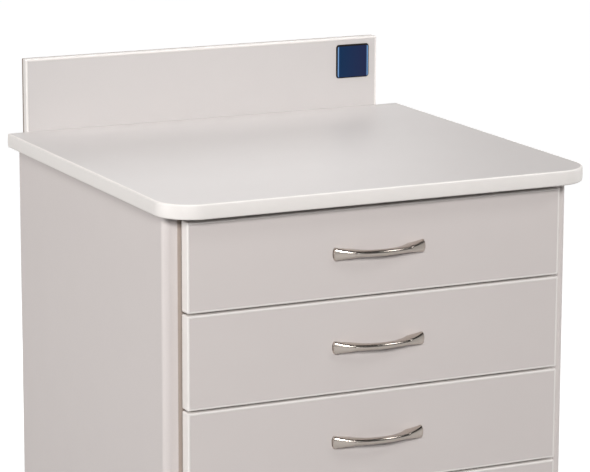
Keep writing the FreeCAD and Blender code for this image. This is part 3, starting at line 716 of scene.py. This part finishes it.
class CABINET_OT_side_panels(bpy.types.Operator):
    """Build both finish panels with their rounded outer corners"""

    bl_idname = "cabinet.side_panels"
    bl_label = "Side Panels"

    def execute(self, context):
        r = sizes().board_arris
        full = sizes().panel_round
        panel = board(*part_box("side_panel_right"), (r, r, full, full), steps=10)
        for side, shape in (("right", panel), ("left", mirrored(panel))):
            piece(f"finish_panel_{side}", [shape], "cabinet", cabinet_melamine(), "laminate",
                  f"side_panel_{side}")
        return {"FINISHED"}


class CABINET_OT_carcass(bpy.types.Operator):
    """Build the boards between the finish panels, and dress the drilled ones"""

    bl_idname = "cabinet.carcass"
    bl_label = "Carcass"

    def execute(self, context):
        for name, node, axes in (("inner_side_right_board", "inner_side_right", IN_SIDE_VIEW),
                                 ("inner_side_left_board", "inner_side_left", IN_SIDE_VIEW),
                                 ("carcass_floor", "carcass_bottom", IN_PLAN)):
            piece(name, [board(*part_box(node), axes=axes)], "cabinet", carcass_melamine(),
                  "carcass_board", node)
        for node in ("top_rail_front", "top_rail_rear", "back_panel"):
            dress(node, carcass_melamine())
        dress("drawer_bumpers", soft_stop())
        return {"FINISHED"}


class CABINET_OT_drawer_fronts(bpy.types.Operator):
    """Build the laminated board of each drawer front and the band round it"""

    bl_idname = "cabinet.drawer_fronts"
    bl_label = "Drawer Fronts"

    def execute(self, context):
        r = sizes().front_arris
        for k in DRAWERS:
            core_low, core_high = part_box(f"drawer_front_{k}")
            core = board(core_low, core_high, arris=sizes().seam, axes=IN_FRONT_VIEW)
            piece(f"drawer_panel_{k}", [core], f"drawer_{k}", cabinet_melamine(), "laminate",
                  f"drawer_front_{k}")
            low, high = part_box(f"drawer_edging_{k}")
            edging = band(low, high, core_low.x - low.x, r, (r,) * 4, IN_FRONT_VIEW)
            piece(f"drawer_edge_band_{k}", [edging], f"drawer_{k}", edge_band(), "edging",
                  f"drawer_edging_{k}")
        return {"FINISHED"}


def smooth_step(value, low, high):
    """Rise from 0 to 1 between two values, level at both ends."""
    t = np.clip((value - low) / (high - low), 0, 1)
    return t * t * (3 - 2 * t)


def handle_shape(low, high):
    """Bow handle as a function of the way along it and the way round its section.

    Its outer face is one arc from end to end, and behind it a flatter arc
    joins the two feet. Its height is that of the straight waist, and beyond
    it flares along an arc. The front of a section is a superellipse: a soft
    crown over the bow and, past a short shoulder, a nearly flat facet at each
    end. Both ends bow out as a parabola of the height.
    """
    size = sizes()
    half = (high.x - low.x) / 2
    tip = (high.z - low.z) / 2
    rise = high.y - low.y - size.handle_end
    clear = high.y - low.y - size.handle_thick
    heel = half - size.handle_pad
    waist = size.handle_waist / 2
    straight = size.handle_straight / 2
    soft = 1.1 * MM
    shoulder = 1.3 * MM
    # Powers of the superellipse, and the widest place of a section, as a share of its depth
    bow_power, facet_power, rear_power = 2.3, 3.6, 5.0
    bow_spine, facet_spine = 0.42, 0.30
    # Stations along the bar, closest together at the rounded tips and the shoulders
    turn = np.linspace(0, math.pi / 2, 7)
    stations = np.concatenate([
        np.linspace(0, heel - 2 * shoulder, 34)[:-1],
        np.linspace(heel - 2 * shoulder, heel + 2 * shoulder, 15)[:-1],
        np.linspace(heel + 2 * shoulder, half - soft, 16)[:-1],
        half - soft + soft * np.sin(turn),
    ])
    inset = np.concatenate([np.zeros(len(stations) - len(turn)), soft * (1 - np.cos(turn))])
    along = np.concatenate([-stations[:0:-1], stations])[:, None]
    inset = np.concatenate([inset[:0:-1], inset])[:, None]
    far = np.abs(along)
    outer_radius = (half**2 + rise**2) / (2 * rise)
    inner_radius = (heel**2 + clear**2) / (2 * clear)
    flare = tip - waist
    reach = half - size.handle_bulge - straight
    flare_radius = (reach**2 + flare**2) / (2 * flare)
    front = size.handle_end + rise - outer_radius + np.sqrt(outer_radius**2 - far**2) - inset
    back = clear - inner_radius + np.sqrt(inner_radius**2 - np.minimum(far, heel) ** 2)
    beyond = np.clip(far - straight, 0, reach)
    tall = waist + flare_radius - np.sqrt(flare_radius**2 - beyond**2) - inset
    facet = smooth_step(far, heel - shoulder, heel + shoulder)
    turn = np.linspace(0, 2 * math.pi, 64, endpoint=False)[None, :]
    cosine, sine = np.cos(turn), np.sin(turn)
    rounding = np.where(sine > 0, bow_power + (facet_power - bow_power) * facet, rear_power)
    height = tall * np.sign(cosine) * np.abs(cosine) ** (2 / rounding)
    swell = np.sign(sine) * np.abs(sine) ** (2 / rounding)
    spine = back + (front - back) * (bow_spine + (facet_spine - bow_spine) * facet)
    out = spine + np.where(sine > 0, front - spine, spine - back) * swell
    bulge = size.handle_bulge * (height / tip) ** 2 * (far / half) ** 6
    x = (low.x + high.x) / 2 + along - np.sign(along) * bulge
    z = (low.z + high.z) / 2 + height
    return surface(np.stack([x, high.y - out, z], axis=-1))


class CABINET_OT_handles(bpy.types.Operator):
    """Build the bow handle of every drawer"""

    bl_idname = "cabinet.handles"
    bl_label = "Bow Handles"

    def execute(self, context):
        for k in DRAWERS:
            node = f"drawer_handle_{k}"
            piece(f"bow_handle_{k}", [handle_shape(*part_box(node))], f"drawer_{k}",
                  satin_nickel(), "satin_nickel", node)
        return {"FINISHED"}


class CABINET_OT_drawer_boxes(bpy.types.Operator):
    """Build the five boards of every drawer box"""

    bl_idname = "cabinet.drawer_boxes"
    bl_label = "Drawer Boxes"

    wall: length("Wall", "Thickness of a drawer box's upright boards", 12.0)
    lift: length("Bottom lift", "Height of the bottom board over the box's lower edges", 8.0)
    bottom: length("Bottom board", "Thickness of a drawer's bottom board", 6.0)

    def execute(self, context):
        for k in DRAWERS:
            low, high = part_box(f"drawer_box_{k}")
            wall = self.wall
            under = low.z + self.lift
            side = board((high.x - wall, low.y, low.z), high, axes=IN_SIDE_VIEW)
            ends = [board((low.x + wall, y, low.z), (high.x - wall, y + wall, high.z),
                          axes=IN_FRONT_VIEW) for y in (low.y, high.y - wall)]
            bottom = board((low.x + wall, low.y + wall, under),
                           (high.x - wall, high.y - wall, under + self.bottom))
            piece(f"drawer_tray_{k}", [side, mirrored(side), *ends, bottom], f"drawer_{k}",
                  box_melamine(), "drawer_board", f"drawer_box_{k}")
        return {"FINISHED"}


def channel_shape(low, high, opening, sheet, bend):
    """A rolled steel channel along Y with rounded bends, open to one side.

    Its section is the path of the sheet's outer face, from one lip round two
    bends to the other lip, and the same path moved in by the sheet.
    """
    web, lip = (low.x, high.x)[::opening]
    cos, sin = arc(0, 90, 5)

    def path(offset):
        radius = bend - offset
        x = np.append(lip, web + opening * (bend - radius * sin))
        z = np.append(low.z + offset, low.z + bend - radius * cos)
        return np.append(x, x[::-1]), np.append(z, low.z + high.z - z[::-1])

    outer_x, outer_z = path(0.0)
    inner_x, inner_z = path(sheet)
    x = np.append(outer_x, inner_x[::-1])
    z = np.append(outer_z, inner_z[::-1])
    rows = [np.stack([x, np.full(len(x), y), z], axis=-1) for y in (low.y, high.y)]
    return surface(np.array(rows))


class CABINET_OT_slides(bpy.types.Operator):
    """Build the rolled channels of every ball-bearing slide"""

    bl_idname = "cabinet.slides"
    bl_label = "Slides"

    sheet: length("Sheet", "Thickness of the rolled steel", 1.2)
    bend: length("Bend", "Outer radius of a channel's bends", 2.4)
    tall: length("Height", "Height of the cabinet's channel", 45.0)

    def execute(self, context):
        outer_low, outer_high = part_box("slide_outer_right")
        outers = []
        for k in DRAWERS:
            for node, body, opening in ((f"slide_middle_{k}", f"middle_slides_{k}", -1),
                                        (f"slide_inner_{k}", f"drawer_{k}", 1)):
                low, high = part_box(node)
                # Both channels of a pair reach equally far out, so the box gives the outer face
                near = Vector((high.x - self.width_of(node), low.y, low.z))
                shape = channel_shape(near, high, opening, self.sheet, self.bend)
                piece(f"{node}_channels", [shape, mirrored(shape)], body, zinc_plate(),
                      "zinc_steel", node)
            low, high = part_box(f"slide_middle_{k}")
            middle = (low.z + high.z) / 2
            near = Vector((outer_low.x, outer_low.y, middle - self.tall / 2))
            far = Vector((outer_high.x, outer_high.y, middle + self.tall / 2))
            outers.append(channel_shape(near, far, -1, self.sheet, self.bend))
        for side, shapes in (("right", outers), ("left", [mirrored(shape) for shape in outers])):
            piece(f"cabinet_channels_{side}", shapes, "cabinet", zinc_plate(), "zinc_steel",
                  f"slide_outer_{side}")
        return {"FINISHED"}

    def width_of(self, node):
        """Width of one channel: the gap between the lips comes from the node's own points."""
        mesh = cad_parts[node].data
        points = np.empty(len(mesh.vertices) * 3)
        mesh.vertices.foreach_get("co", points)
        across = points[0::3]
        return float(np.ptp(across[across > 0]))


def screw_shape(at, along, reach, size):
    """A pan-head screw with a cross recess, turned to point along an axis.

    It is a surface of revolution, except that its domed face is sunk by a
    cross of two slots, each as deep as its distance from the slot's wall allows.
    """
    head = size.head
    slot_half_width = 0.17 * head
    slot_level, slot_end = 0.5 * head, 0.7 * head
    dome_share, recess_share = 0.5, 0.6
    # Radii across the domed face, closest together at its rim, as shares of the head
    rings = np.concatenate([np.linspace(0.03, 0.84, 13), [0.92, 0.98, 1.0]])[:, None]
    turn = np.linspace(0, 2 * math.pi, 40, endpoint=False)[None, :]
    cos, sin = np.cos(turn), np.sin(turn)
    x = head * rings * cos
    y = head * rings * sin

    def slot(lengthwise, sideways):
        deep = np.clip(2 - 2 * np.abs(sideways) / slot_half_width, 0, 1)
        return deep * smooth_step(-np.abs(lengthwise), -slot_end, -slot_level)

    recess = np.maximum(slot(x, y), slot(y, x))
    z = size.tall * (1 - dome_share * rings**3 - recess_share * recess)
    # Rim under the head, shank and point
    point = 0.8 * MM
    sides = np.array([(head, 0.0), (size.shank, 0.0), (size.shank, point - reach),
                      (0.6 * size.shank, -reach)])
    x = np.vstack([x, sides[:, :1] * cos])
    y = np.vstack([y, sides[:, :1] * sin])
    z = np.vstack([z, sides[:, 1:] + 0 * cos])
    aim = Vector(along).to_track_quat("-Z", "X").to_matrix()
    points = np.stack([x, y, z], axis=-1) @ np.array(aim).T + np.array(at)
    return surface(points[::-1])


class CABINET_OT_screws(bpy.types.Operator):
    """Build every screw with a cross recess in its head"""

    bl_idname = "cabinet.screws"
    bl_label = "Screws"

    head: length("Head radius", "Radius of a screw's head", 4.0)
    tall: length("Head height", "Height of a screw's head", 2.4)
    shank: length("Shank radius", "Radius of a screw's shank", 2.0)
    bite: length("Bite", "How far a wood screw reaches into the second board", 10.9)
    thread: length("Thread", "How far a handle screw reaches into the handle", 3.2)
    spacing: length("Handle holes", "Distance between the two screws of a handle", 96.0)
    edge: length("Edge distance", "From a screw to the edge of the drawer box", 20.0)
    share: FloatProperty(name="Share", description="Place of the outer screws across the box",
                         default=0.8)

    def execute(self, context):
        ahead = (0, -1, 0)
        for k in DRAWERS:
            low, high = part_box(f"drawer_box_{k}")
            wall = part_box(f"drawer_screws_{k}")[1].y - self.tall
            front_low, front_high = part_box(f"drawer_edging_{k}")
            middle = (front_low.z + front_high.z) / 2
            reach = wall - front_low.y + self.thread
            screws = [screw_shape((x, wall, middle), ahead, reach, self)
                      for x in (-self.spacing / 2, self.spacing / 2)]
            far = (high.x - (wall - low.y)) * self.share
            reach = wall - low.y + self.bite
            screws += [screw_shape((x, wall, z), ahead, reach, self)
                       for x in (-far, far) for z in (low.z + self.edge, high.z - self.edge)]
            piece(f"screws_of_drawer_{k}", screws, f"drawer_{k}", zinc_plate(), "zinc_steel",
                  f"drawer_screws_{k}")
        dress("carcass_screws", zinc_plate())
        return {"FINISHED"}


class CABINET_OT_plinth(bpy.types.Operator):
    """Build the recessed plinth and dress the foot sockets"""

    bl_idname = "cabinet.plinth"
    bl_label = "Plinth"

    def execute(self, context):
        for node, slot in (("plinth_front", "laminate"), ("plinth_rear", "carcass_board")):
            piece(f"{node}_board", [board(*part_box(node), axes=IN_FRONT_VIEW)], "cabinet",
                  cabinet_melamine(), slot, node)
        low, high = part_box("plinth_sides")
        front_low, front_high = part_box("plinth_front")
        inner = high.x - (front_high.y - front_low.y)
        side = board((inner, low.y, low.z), high, axes=IN_SIDE_VIEW)
        piece("plinth_side_boards", [side, mirrored(side)], "cabinet", cabinet_melamine(),
              "laminate", "plinth_sides")
        dress("foot_sockets", black_plastic())
        return {"FINISHED"}


class CABINET_OT_feet(bpy.types.Operator):
    """Build the four levelling feet: moulded pad, hexagon and threaded stem"""

    bl_idname = "cabinet.feet"
    bl_label = "Levelling Feet"

    pad_height: length("Pad height", "Height of the pad at its middle", 8.0)
    pad_round: length("Pad round", "Round of the pad's rim and of the hub's top", 1.0)
    hub_radius: length("Hub radius", "Radius of the hub on the pad", 10.0)
    hub_height: length("Hub height", "Height of the hub over the pad", 5.0)
    hub_fillet: length("Hub fillet", "Width of the slope between pad and hub", 2.0)
    hex_radius: length("Hexagon radius", "Radius over the hexagon's corners", 8.0)
    hex_height: length("Hexagon height", "Height of the hexagon", 6.0)
    hex_chamfer: length("Hexagon chamfer", "Height of the turned corners", 0.8)
    stem_radius: length("Stem radius", "Radius over the stem's thread", 5.0)
    thread_depth: length("Thread depth", "Depth of the stem's thread", 0.9)

    def execute(self, context):
        for name in FEET:
            node = f"levelling_foot_{name}"
            low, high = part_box(node)
            centre = ((low.x + high.x) / 2, (low.y + high.y) / 2, low.z)
            hub = self.pad_height + self.hub_height
            top = hub + self.hex_height
            piece(f"foot_pad_{name}", [self.pad(centre, (high.x - low.x) / 2, hub)],
                  f"foot_{name}", black_plastic(), "black_plastic", node)
            piece(f"foot_stem_{name}", [self.hexagon(centre, hub),
                                        self.thread(centre, top, high.z - low.z)],
                  f"foot_{name}", zinc_plate(), "zinc_steel", node)
        return {"FINISHED"}

    def pad(self, centre, outer, hub):
        """The moulded pad, turned: a rounded rim, a low slope, and a hub with a rounded top."""
        r = self.pad_round
        edge = self.pad_height / 2
        pole = 0.5 * MM
        slope_foot = self.pad_height - 0.9 * MM
        slope_top = self.pad_height + 0.8 * MM
        cos, sin = arc(0, 90, 4)
        radius = np.concatenate([
            [pole, outer - r], outer - r + r * sin, outer - r + r * cos,
            [self.hub_radius + self.hub_fillet, self.hub_radius], self.hub_radius - r + r * cos,
            [pole]])
        height = np.concatenate([
            [0, 0], r - r * cos, edge - r + r * sin,
            [slope_foot, slope_top], hub - r + r * sin,
            [hub]])
        turn = np.linspace(0, 2 * math.pi, 48, endpoint=False)
        return wrapped(centre, radius[:, None], height[:, None], turn)

    def hexagon(self, centre, bottom):
        """A hexagon whose corners are turned off by a cone above and below."""
        turn = np.radians(np.arange(0, 360, 5))
        sixth = np.radians(60)
        flat = np.cos(sixth / 2) / np.cos((turn + sixth / 2) % sixth - sixth / 2)
        turned_off = np.array([0.87, 1.0, 1.0, 0.87])[:, None]
        height = np.array([0.0, self.hex_chamfer, self.hex_height - self.hex_chamfer,
                           self.hex_height])[:, None]
        radius = self.hex_radius * np.minimum(flat, turned_off)
        return wrapped(centre, radius, bottom + height, turn)

    def thread(self, centre, bottom, top):
        """A threaded stem: the radius is a triangle wave of height less turn."""
        pitch = sizes().foot_pitch
        rows_in_pitch = 8
        steps = int(round((top - bottom) / pitch * rows_in_pitch))
        height = np.linspace(bottom, top, steps + 1)[:, None]
        turn = np.radians(np.arange(0, 360, 15))
        phase = (height / pitch - turn / (2 * math.pi)) % 1.0
        radius = self.stem_radius - self.thread_depth * np.abs(2 * phase - 1)
        return wrapped(centre, radius, height, turn)


def direct_rays(tree, rays):
    """One for the rays that the camera sends, also through glass, and nought for others."""
    return add(tree, "Math", {0: rays["Is Camera Ray"], 1: rays["Is Transmission Ray"]},
               operation="MAXIMUM")


def as_seen(tree, seen, mirrored_share):
    """A brightness that the camera sees whole and reflections see only in part."""
    rays = add(tree, "LightPath").outputs
    dimmed = add(tree, "Math", {0: rays["Is Glossy Ray"], 1: mirrored_share}, operation="MULTIPLY")
    share = add(tree, "Math", {0: direct_rays(tree, rays), 1: dimmed}, operation="MAXIMUM")
    return add(tree, "Math", {0: share, 1: seen}, operation="MULTIPLY")


@finish("White studio floor")
def studio_floor(tree, place):
    """Matte grey floor that glows for the eye, so that it is white where no shadow falls.

    From below it is clear, so that the feet and the plinth can be seen.
    """
    stage = bpy.context.scene.cabinet_stage
    matte = add(tree, "BsdfDiffuse", {"Color": shaded(colours().floor)})
    away = add(tree, "VectorMath", {0: place}, operation="LENGTH")
    level = add(tree, "MapRange", {"Value": away, "From Min": GLOW_FROM, "From Max": GLOW_TO,
                                   "To Min": stage.floor_near, "To Max": stage.floor_far},
                interpolation_type="SMOOTHSTEP")
    glow = add(tree, "Emission", {"Strength": as_seen(tree, level, stage.mirrored_floor)})
    both = add(tree, "AddShader", {0: matte, 1: glow})
    below = add(tree, "NewGeometry").outputs["Backfacing"]
    clear = add(tree, "BsdfTransparent")
    return add(tree, "MixShader", {0: below, 1: both, 2: clear})


class CABINET_OT_stage(bpy.types.Operator):
    """Set up the pale floor, the soft lights, the room and the camera"""

    bl_idname = "cabinet.stage"
    bl_label = "Stage"

    def execute(self, context):
        scene = context.scene
        stage = scene.cabinet_stage
        scene.view_settings.view_transform = "Standard"
        self.floor(stage.floor_half)
        self.room(scene, stage)
        for name, (_, *placing) in SOFT_BOXES.items():
            self.soft_box(name, getattr(stage, f"{name}_power"), *placing)
        self.camera(scene, stage)
        return {"FINISHED"}

    def floor(self, half):
        """One wide square at the height of the floor."""
        grid = np.array([[[x, y, 0.0] for x in (-half, half)] for y in (-half, half)])
        mesh = build_mesh("studio_floor", [surface(grid, wrap_columns=False, capped=False)])
        mesh.materials.append(studio_floor())
        linked("studio_floor", mesh)

    def room(self, scene, stage):
        """A room that is white to the camera.

        Metal sees a dimmer sweep up to just over the horizon, then dark walls and ceiling.
        """
        world = bpy.data.worlds.new("Studio room")
        world.use_nodes = True
        scene.world = world
        tree = world.node_tree
        tree.nodes.clear()
        way = add(tree, "TexCoord").outputs["Generated"]
        up = add(tree, "SeparateXYZ", {"Vector": way}).outputs["Z"]
        sweep = as_seen(tree, stage.sweep, stage.mirrored_sweep)
        walls = add(tree, "MapRange", {"Value": up, "From Min": SWEEP_TOP, "From Max": WALL_FOOT,
                                       "To Min": sweep, "To Max": stage.walls},
                    interpolation_type="SMOOTHSTEP")
        over = add(tree, "MapRange", {"Value": up, "From Min": WALL_TOP, "From Max": CEILING_FOOT},
                   interpolation_type="SMOOTHSTEP")
        lit = add(tree, "Mix", {FACTOR: over, NUMBER_A: walls, NUMBER_B: stage.ceiling})
        rays = add(tree, "LightPath").outputs
        seen = add(tree, "Mix", {FACTOR: direct_rays(tree, rays), NUMBER_A: lit,
                                 NUMBER_B: stage.sweep})
        light = add(tree, "Background", {"Color": (1.0, 1.0, 1.0, 1.0), "Strength": seen})
        add(tree, "OutputWorld", {"Surface": light})

    def soft_box(self, name, watts, bearing, distance, height, wide, tall):
        """A rectangular area light at a bearing from the cabinet, turned to the lit point."""
        lamp = bpy.data.lights.new(name, "AREA")
        lamp.shape = "RECTANGLE"
        lamp.size = wide
        lamp.size_y = tall
        lamp.energy = watts
        thing = linked(name, lamp)
        turn = math.radians(bearing)
        place = Vector((distance * math.sin(turn), -distance * math.cos(turn), height))
        thing.location = place
        thing.rotation_euler = (LIT_POINT - place).to_track_quat("-Z", "Y").to_euler()
        thing.visible_camera = False
        thing.visible_glossy = name not in FILLS

    def camera(self, scene, stage):
        """A long-lens camera at the photograph's place and angle."""
        lens = bpy.data.cameras.new("photo_camera")
        lens.lens = stage.lens
        lens.sensor_width = 36.0
        lens.clip_end = 200.0
        thing = linked("photo_camera", lens)
        turn = (Matrix.Rotation(stage.azimuth, 4, "Z")
                @ Matrix.Rotation(math.pi / 2 - stage.elevation, 4, "X")
                @ Matrix.Rotation(stage.roll, 4, "Z"))
        thing.matrix_world = Matrix.Translation(stage.camera_place) @ turn
        scene.camera = thing


OPERATORS = (
    CABINET_OT_worktop,
    CABINET_OT_splash,
    CABINET_OT_plate,
    CABINET_OT_side_panels,
    CABINET_OT_carcass,
    CABINET_OT_drawer_fronts,
    CABINET_OT_handles,
    CABINET_OT_drawer_boxes,
    CABINET_OT_slides,
    CABINET_OT_screws,
    CABINET_OT_plinth,
    CABINET_OT_feet,
    CABINET_OT_stage,
)


class CABINET_PT_panel(bpy.types.Panel):
    """Lists the steps that build the cabinet's looks"""

    bl_idname = "CABINET_PT_panel"
    bl_label = "Drawer Cabinet"
    bl_space_type = "VIEW_3D"
    bl_region_type = "UI"
    bl_category = "Cabinet"

    def draw(self, context):
        for operator in OPERATORS:
            self.layout.operator(operator.bl_idname)


GROUPS = {
    "cabinet_sizes": CabinetSizes,
    "cabinet_colours": CabinetColours,
    "cabinet_stage": StageSettings,
}
CLASSES = (*GROUPS.values(), *OPERATORS, CABINET_PT_panel)


def register():
    for item in CLASSES:
        bpy.utils.register_class(item)
    for name, group in GROUPS.items():
        setattr(bpy.types.Scene, name, PointerProperty(type=group))


def unregister():
    for name in GROUPS:
        delattr(bpy.types.Scene, name)
    for item in reversed(CLASSES):
        bpy.utils.unregister_class(item)


def main():
    """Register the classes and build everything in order."""
    register()
    for operator in OPERATORS:
        family, name = operator.bl_idname.split(".")
        getattr(getattr(bpy.ops, family), name)()


if __name__ == "__main__":
    main()
